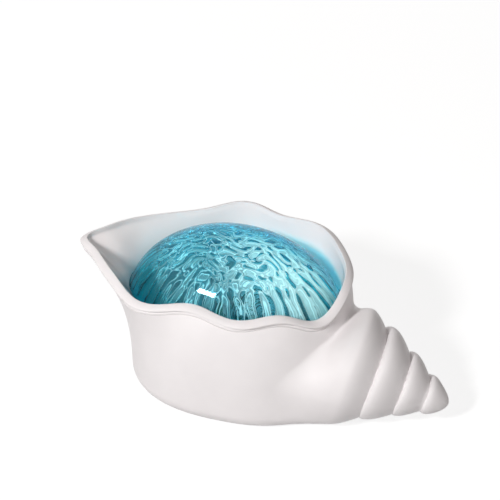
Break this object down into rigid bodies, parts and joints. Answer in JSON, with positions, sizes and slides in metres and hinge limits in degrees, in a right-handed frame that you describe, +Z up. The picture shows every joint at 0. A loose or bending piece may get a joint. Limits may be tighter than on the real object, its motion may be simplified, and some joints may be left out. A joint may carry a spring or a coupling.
{
  "type": "ocean wave projector",
  "caption": "Sea-shell shaped table lamp with a scalloped open lip and a clear rippled dome; a turning rippled disc over a lamp throws moving water patterns.",
  "frame": {"origin": "on the surface it stands on, at the underside of the foot pad", "axes": "+X towards the tip of the spire, -Y towards the front, +Z up"},
  "size_m": [0.2026, 0.098, 0.091],
  "materials": {
    "shell_white": "satin moulded off-white",
    "liner_white": "polished white",
    "dome_aqua": "clear aqua, smooth outside, rippled inside",
    "frame_white": "moulded",
    "frame_grey": "moulded",
    "base_white": "fine texture",
    "pad_rubber": "soft matt",
    "steel": "zinc plated",
    "spring_steel": "dark spring steel",
    "motor_can": "drawn can",
    "gear_white": "natural nylon",
    "clear_plastic": "clear",
    "sink_aluminium": "extruded",
    "board_white": "solder mask",
    "board_green": "solder mask",
    "led_yellow": "phosphor",
    "chip_black": "moulded",
    "inlet_metal": "nickel plated",
    "button_white": "polished",
    "header_white": "moulded",
    "lead_red": "insulated wire",
    "lead_black": "insulated wire"
  },
  "bodies": {
    "lamp": {"outer_shell": "shell_white", "lip_liner": "liner_white", "ripple_dome": "dome_aqua", "dome_carrier": "frame_white", "carrier_screws": "steel", "chassis": "frame_grey", "base_plate": "base_white", "base_screws": "steel", "foot_pad": "pad_rubber", "drive_motor": "motor_can", "motor_gearbox": "gear_white", "motor_screws": "steel", "wave_axle": "steel", "axle_clip": "spring_steel", "led_heatsink": "sink_aluminium", "heatsink_screws": "steel", "led_board": "board_white", "led_chips": "led_yellow", "led_lens": "clear_plastic", "main_board": "board_green", "board_screws": "steel", "driver_chips": "chip_black", "usb_socket": "inlet_metal", "usb_tongue": "chip_black", "button_switch": "chip_black", "rear_panel": "base_white", "motor_header": "header_white", "led_header": "header_white", "motor_leads": "lead_red", "led_leads": "lead_black"},
    "wave_rotor": {"wave_gear": "gear_white", "wave_disc": "clear_plastic"},
    "motor_rotor": {"motor_shaft": "steel", "motor_pinion": "gear_white"},
    "button": {"power_button": "button_white"}
  },
  "joints": [
    {"name": "wave_disc_spin", "type": "hinge", "parent": "lamp", "child": "wave_rotor", "pos_m": [0.008, 0, 0.036], "axis": [0, 0, 1], "continuous": true},
    {"name": "pinion_spin", "type": "hinge", "parent": "lamp", "child": "motor_rotor", "pos_m": [0.02265, 0, 0.033], "axis": [0, 0, 1], "continuous": true},
    {"name": "power_button_press", "type": "slide", "parent": "lamp", "child": "button", "axis": [0, -1, 0], "range_m": [0, 0.0012], "stiffness_N_per_m": 400}
  ],
  "couplings": [
    {"joint": "pinion_spin", "follows": "wave_disc_spin", "ratio": -2}
  ]
}
